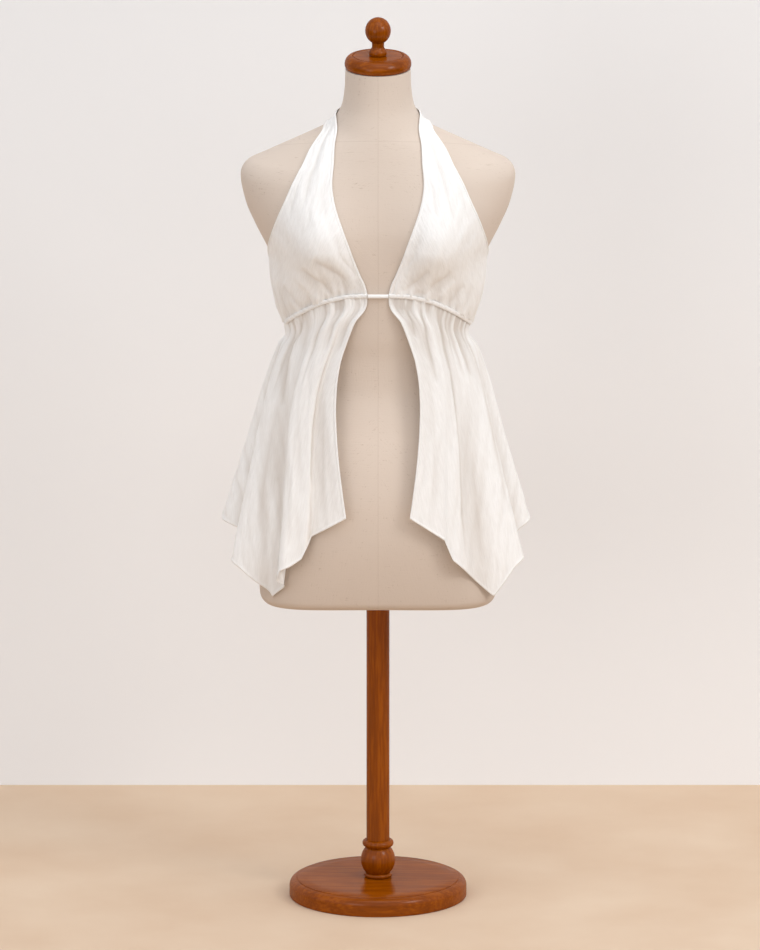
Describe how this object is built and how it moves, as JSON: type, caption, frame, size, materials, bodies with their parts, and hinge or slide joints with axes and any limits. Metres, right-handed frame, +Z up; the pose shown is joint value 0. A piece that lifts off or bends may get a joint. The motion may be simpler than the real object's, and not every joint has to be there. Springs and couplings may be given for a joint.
{
  "type": "halter neck top on limbless dress form",
  "caption": "Gathered halter neck top with a deep open front and a flared handkerchief-hem peplum, on a limbless linen dress form with a turned wooden stand.",
  "frame": {"origin": "centre of the stand's base, on its underside", "axes": "+Z up along the pole, -Y towards the garment's front, +X towards the wearer's left"},
  "size_m": [0.4281, 0.2791, 1.2624],
  "materials": {
    "cotton_gauze": "matte, crinkled off-white plain weave",
    "linen": "matte, tightly stretched natural linen",
    "stained_wood": "stained red-brown and satin varnished"
  },
  "bodies": {
    "root": {"cup_left": "cotton_gauze", "cup_right": "cotton_gauze", "neck_strap": "cotton_gauze", "underbust_band": "cotton_gauze", "bridge_cord": "cotton_gauze", "peplum_front_left": "cotton_gauze", "peplum_front_right": "cotton_gauze", "peplum_back": "cotton_gauze", "torso": "linen", "neck_cap": "stained_wood", "finial": "stained_wood", "pole": "stained_wood", "foot_turning": "stained_wood", "base_disc": "stained_wood"}
  },
  "joints": []
}
